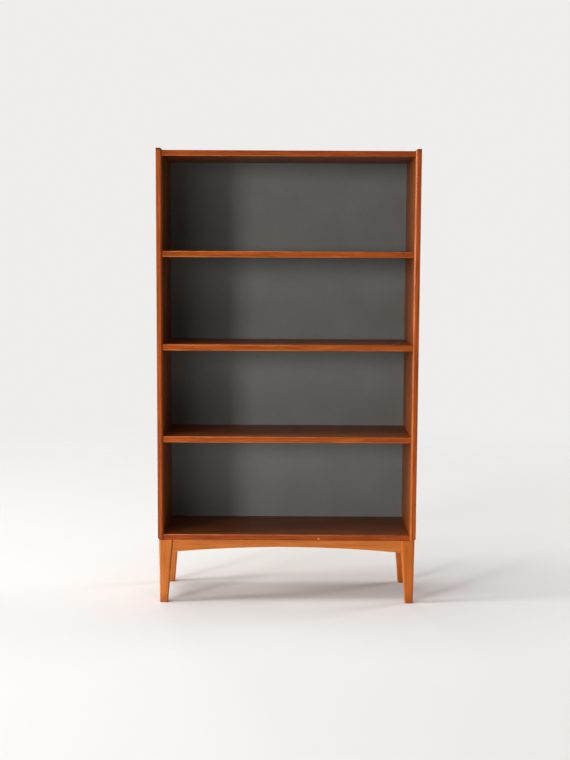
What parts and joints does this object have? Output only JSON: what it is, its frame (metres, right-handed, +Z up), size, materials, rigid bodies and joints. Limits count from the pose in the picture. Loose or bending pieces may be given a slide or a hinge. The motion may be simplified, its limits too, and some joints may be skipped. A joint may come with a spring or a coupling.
{
  "type": "bookcase",
  "caption": "Tall open bookcase of veneered boards with adjustable shelves on hidden wires, a painted back, and a low base with tapered legs and an arched apron.",
  "frame": {"origin": "on the floor, under the middle of the case", "axes": "+Z up; the open front faces -Y; +X is to the right when looking at the front along +Y"},
  "size_m": [0.8, 0.28, 1.4],
  "materials": {
    "teak_veneer": "oiled satin veneer",
    "solid_teak": "oiled satin",
    "stained_beech": "honey-stained, satin lacquer",
    "plain_beech": "planed, unfinished",
    "grey_paint": "hardboard with matt grey paint",
    "steel": "drawn, zinc-plated"
  },
  "bodies": {
    "case": {"left_side": "teak_veneer", "left_side_front_lipping": "solid_teak", "left_side_top_lipping": "solid_teak", "right_side": "teak_veneer", "right_side_front_lipping": "solid_teak", "right_side_top_lipping": "solid_teak", "top_panel": "teak_veneer", "top_panel_lipping": "solid_teak", "bottom_panel": "teak_veneer", "bottom_panel_lipping": "solid_teak", "back_panel": "grey_paint", "back_pins": "steel", "case_dowels": "plain_beech", "upper_shelf_left_wire": "steel", "upper_shelf_right_wire": "steel", "middle_shelf_left_wire": "steel", "middle_shelf_right_wire": "steel", "lower_shelf_left_wire": "steel", "lower_shelf_right_wire": "steel", "front_left_leg": "stained_beech", "front_right_leg": "stained_beech", "rear_left_leg": "stained_beech", "rear_right_leg": "stained_beech", "front_apron": "stained_beech", "rear_rail": "stained_beech", "left_rail": "stained_beech", "right_rail": "stained_beech", "rail_dowels": "plain_beech", "front_left_corner_block": "plain_beech", "front_right_corner_block": "plain_beech", "rear_left_corner_block": "plain_beech", "rear_right_corner_block": "plain_beech", "base_screws": "steel"},
    "upper_shelf": {"upper_shelf": "teak_veneer", "upper_shelf_lipping": "solid_teak"},
    "middle_shelf": {"middle_shelf": "teak_veneer", "middle_shelf_lipping": "solid_teak"},
    "lower_shelf": {"lower_shelf": "teak_veneer", "lower_shelf_lipping": "solid_teak"}
  },
  "joints": [
    {"name": "upper_shelf_slide", "type": "slide", "parent": "case", "child": "upper_shelf", "axis": [0, -1, 0], "range_m": [0, 0.236]},
    {"name": "middle_shelf_slide", "type": "slide", "parent": "case", "child": "middle_shelf", "axis": [0, -1, 0], "range_m": [0, 0.236]},
    {"name": "lower_shelf_slide", "type": "slide", "parent": "case", "child": "lower_shelf", "axis": [0, -1, 0], "range_m": [0, 0.236]}
  ]
}
